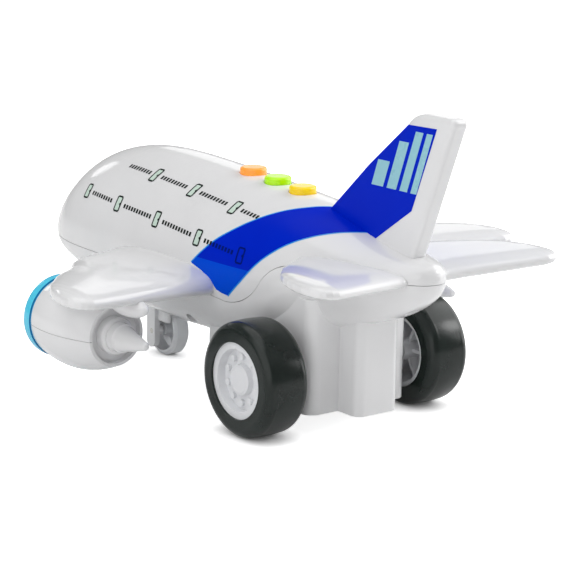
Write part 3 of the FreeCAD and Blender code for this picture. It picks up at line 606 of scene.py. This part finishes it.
intake = {
    "front": 79.8,     # mm from the rear axle, where the ring meets the nacelle
    "across": 82.0,    # mm out from the middle
    "up": 38.0,
    "lip": [(0.9, 17.5), (3.4, 17.6), (5.6, 17.2), (6.9, 15.9), (6.6, 14.4), (4.2, 13.5),
            (1.0, 13.1)],  # rounded lip, mm ahead of the nacelle and radius
    # the spigot is pushed into the nacelle, and its last stretch carries the painted shade of the
    # joint's gap
    "spigot": [(-3.9, 13.0), (-3.9, 14.5), (0.0, 14.5), (0.0, 17.1), (0.9, 17.1)],
    "lipSteps": 4,
    "roundSteps": 96,
    "crease": 40,  # degrees, sharper edges than this stay sharp
}


def intakeRing(side, sideName):
    # the profile turned round the engine's axis
    profile = curveThrough(intake["lip"], intake["lipSteps"]) + intake["spigot"]
    ring = bmesh.new()
    rows = []
    for step in range(intake["roundSteps"]):
        turn = 2 * math.pi * step / intake["roundSteps"]
        rows.append([ring.verts.new(((intake["front"] + ahead + axleX) * mm,
                                     (side * intake["across"] + radius * math.cos(turn)) * mm,
                                     (intake["up"] + radius * math.sin(turn)) * mm))
                     for ahead, radius in profile])
    for row, after in zip(rows, rows[1:] + rows[:1]):
        for here in range(len(profile)):
            nextOne = (here + 1) % len(profile)
            wall = ring.faces.new([row[here], row[nextOne], after[nextOne], after[here]])
            # the faces of the joint line get the painted shade
            wall.material_index = 1 if nextOne in (0, len(profile) - 1) else 0
    bmesh.ops.recalc_face_normals(ring, faces=ring.faces[:])
    piece = makePiece("intake_lip_" + sideName, ring, cyanClear, cyanPaintedShade)
    piece.data.shade_smooth()
    piece.data.set_sharp_from_angle(angle=math.radians(intake["crease"]))
    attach(piece, "airframe")
    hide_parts("intake_ring_" + sideName)


for side, sideName in sides:
    intakeRing(side, sideName)
print("intake rings made")

stage = {
    "floor": {"colour": "#F4F4F4", "shade": "#F0F0F0", "grainMm": 24.0},
    "reach": 6.0,       # m, half the floor's width
    "gap": 0.05,        # mm between the wheels and the floor
    "glow": 0.8,        # what the floor adds to itself where the eye sees it
    "paintedContactMm": 8.0,     # mm, how near the part darkens that glow: a painted contact shadow
    "world": 0.1,       # plain light from all round
    "mirrored": 0.25,   # share of the background that shiny surfaces mirror
    "aim": (0, 0, 0.06),  # m, where all lamps point
    "lamps": {          # m, m across and watts
        "top": {"place": (0.1, 0.15, 1.3), "size": 1.7, "power": 9.8},
        "left": {"place": (-0.35, 1.2, 0.55), "size": 1.9, "power": 10.8},
        "right": {"place": (-0.3, -1.1, 0.65), "size": 1.5, "power": 14.2},
        "rim": {"place": (1.0, -0.84, 0.46), "size": 0.5, "power": 0.5},
        "nose": {"place": (1.14, -0.06, 0.45), "size": 0.22, "power": 0.22},
        "tyre": {"place": (-0.62, -0.87, 0.66), "size": 0.34, "power": 1.8},
    },
}


def seenRays(tree):
    # 1 for rays that see the background straight or through something clear and a share of it
    # for mirrored ones, as a studio is dark past its paper
    path = addNode(tree, "ShaderNodeLightPath")
    mirrored = addNode(tree, "ShaderNodeMath", {"operation": "MULTIPLY_ADD"}, {
        0: path.outputs["Is Glossy Ray"], 1: stage["mirrored"],
        2: path.outputs["Is Transmission Ray"]})
    return addNode(tree, "ShaderNodeMath", {"operation": "ADD", "use_clamp": True}, {
        0: mirrored.outputs["Value"], 1: path.outputs["Is Camera Ray"]})


def buildFloor():
    # matt paper that shows white and keeps the part's shadow, with a painted contact shadow where the
    # part comes near. Its grain is drawn far coarser than real paper's; the pattern is laid once over
    # the floor's whole width
    material, tree, shader = startMaterial("mattPaperPressed")
    facts = stage["floor"]
    grain = addNode(tree, "ShaderNodeTexNoise", inputs={
        "Scale": 2 * stage["reach"] * perMetre(facts["grainMm"])})
    tone = addNode(tree, "ShaderNodeMix", {"data_type": "RGBA"}, {
        "Factor": grain.outputs["Fac"], "A": toLinear(facts["colour"]), "B": toLinear(facts["shade"])})
    plain = addNode(tree, "ShaderNodeBsdfDiffuse", inputs={"Color": tone.outputs["Result"]})
    # painted contact shadow: the floor's glow is darkened where the part comes near
    paintedContactShade = addNode(tree, "ShaderNodeAmbientOcclusion", {"samples": 8}, {
        "Distance": stage["paintedContactMm"] * mm})
    strength = addNode(tree, "ShaderNodeMath", {"operation": "MULTIPLY"}, {
        0: paintedContactShade.outputs["AO"], 1: stage["glow"]})
    glow = addNode(tree, "ShaderNodeEmission", inputs={
        "Color": toLinear("#FFFFFF"), "Strength": strength.outputs["Value"]})
    both = addNode(tree, "ShaderNodeAddShader", inputs={0: plain.outputs[0], 1: glow.outputs[0]})
    mixed = addNode(tree, "ShaderNodeMixShader", inputs={
        0: seenRays(tree).outputs["Value"], 1: plain.outputs[0], 2: both.outputs[0]})
    tree.links.new(mixed.outputs[0], tree.nodes["Material Output"].inputs["Surface"])
    tree.nodes.remove(shader)
    sheet = bmesh.new()
    reach = stage["reach"]
    sheet.faces.new([sheet.verts.new((x * reach, y * reach, 0))
                     for x, y in ((-1, -1), (1, -1), (1, 1), (-1, 1))])
    floor = makePiece("floor", sheet, material)
    floor.location.z = cadBox[0][2] - stage["gap"] * mm


def addLamp(name, facts):
    lamp = bpy.data.lights.new(name, "AREA")
    lamp.shape = "DISK"
    lamp.size = facts["size"]
    lamp.energy = facts["power"]
    holder = bpy.data.objects.new(name, lamp)
    holder.location = facts["place"]
    toward = Vector(stage["aim"]) - Vector(facts["place"])
    holder.rotation_euler = toward.to_track_quat("-Z", "Y").to_euler()
    bpy.context.scene.collection.objects.link(holder)


buildFloor()
for lampName, facts in stage["lamps"].items():
    addLamp(lampName + "Lamp", facts)

world = bpy.data.worlds.new("studio")
bpy.context.scene.world = world
world.use_nodes = True
worldTree = world.node_tree
background = worldTree.nodes["Background"]
level = addNode(worldTree, "ShaderNodeMapRange", inputs={
    "Value": seenRays(worldTree).outputs["Value"], "To Min": stage["world"], "To Max": 1.0})
worldTree.links.new(level.outputs["Result"], background.inputs["Strength"])
background.inputs["Color"].default_value = toLinear("#FFFFFF")
print("stage and lamps set")

view = {
    "place": (-708.75, 535.1, 255.0),  # mm, behind the part and to its left
    "azimuth": 38.02,  # degrees to the right of straight ahead
    "pitch": 13.33,    # degrees down
    "roll": -1.05,     # degrees
    "sensor": 36.0,    # mm across
    "focal": 132.16783,  # mm
    "clipEnd": 20.0,   # m
}


def placeCamera():
    azimuth, pitch, roll = (math.radians(view[key]) for key in ("azimuth", "pitch", "roll"))
    forward = Vector((math.cos(pitch) * math.cos(azimuth), -math.cos(pitch) * math.sin(azimuth),
                      -math.sin(pitch)))
    right = forward.cross(Vector((0, 0, 1))).normalized()
    down = forward.cross(right)
    turnedRight = right * math.cos(roll) + down * math.sin(roll)
    turnedDown = down * math.cos(roll) - right * math.sin(roll)
    facing = Matrix((turnedRight, -turnedDown, -forward)).transposed()
    camera = bpy.data.objects.new("camera", bpy.data.cameras.new("camera"))
    camera.matrix_world = Matrix.Translation(Vector(view["place"]) * mm) @ facing.to_4x4()
    camera.data.lens = view["focal"]
    camera.data.sensor_width = view["sensor"]
    camera.data.clip_end = view["clipEnd"]
    bpy.context.scene.collection.objects.link(camera)
    bpy.context.scene.camera = camera


placeCamera()
bpy.context.scene.view_settings.view_transform = "Standard"

print("camera set")
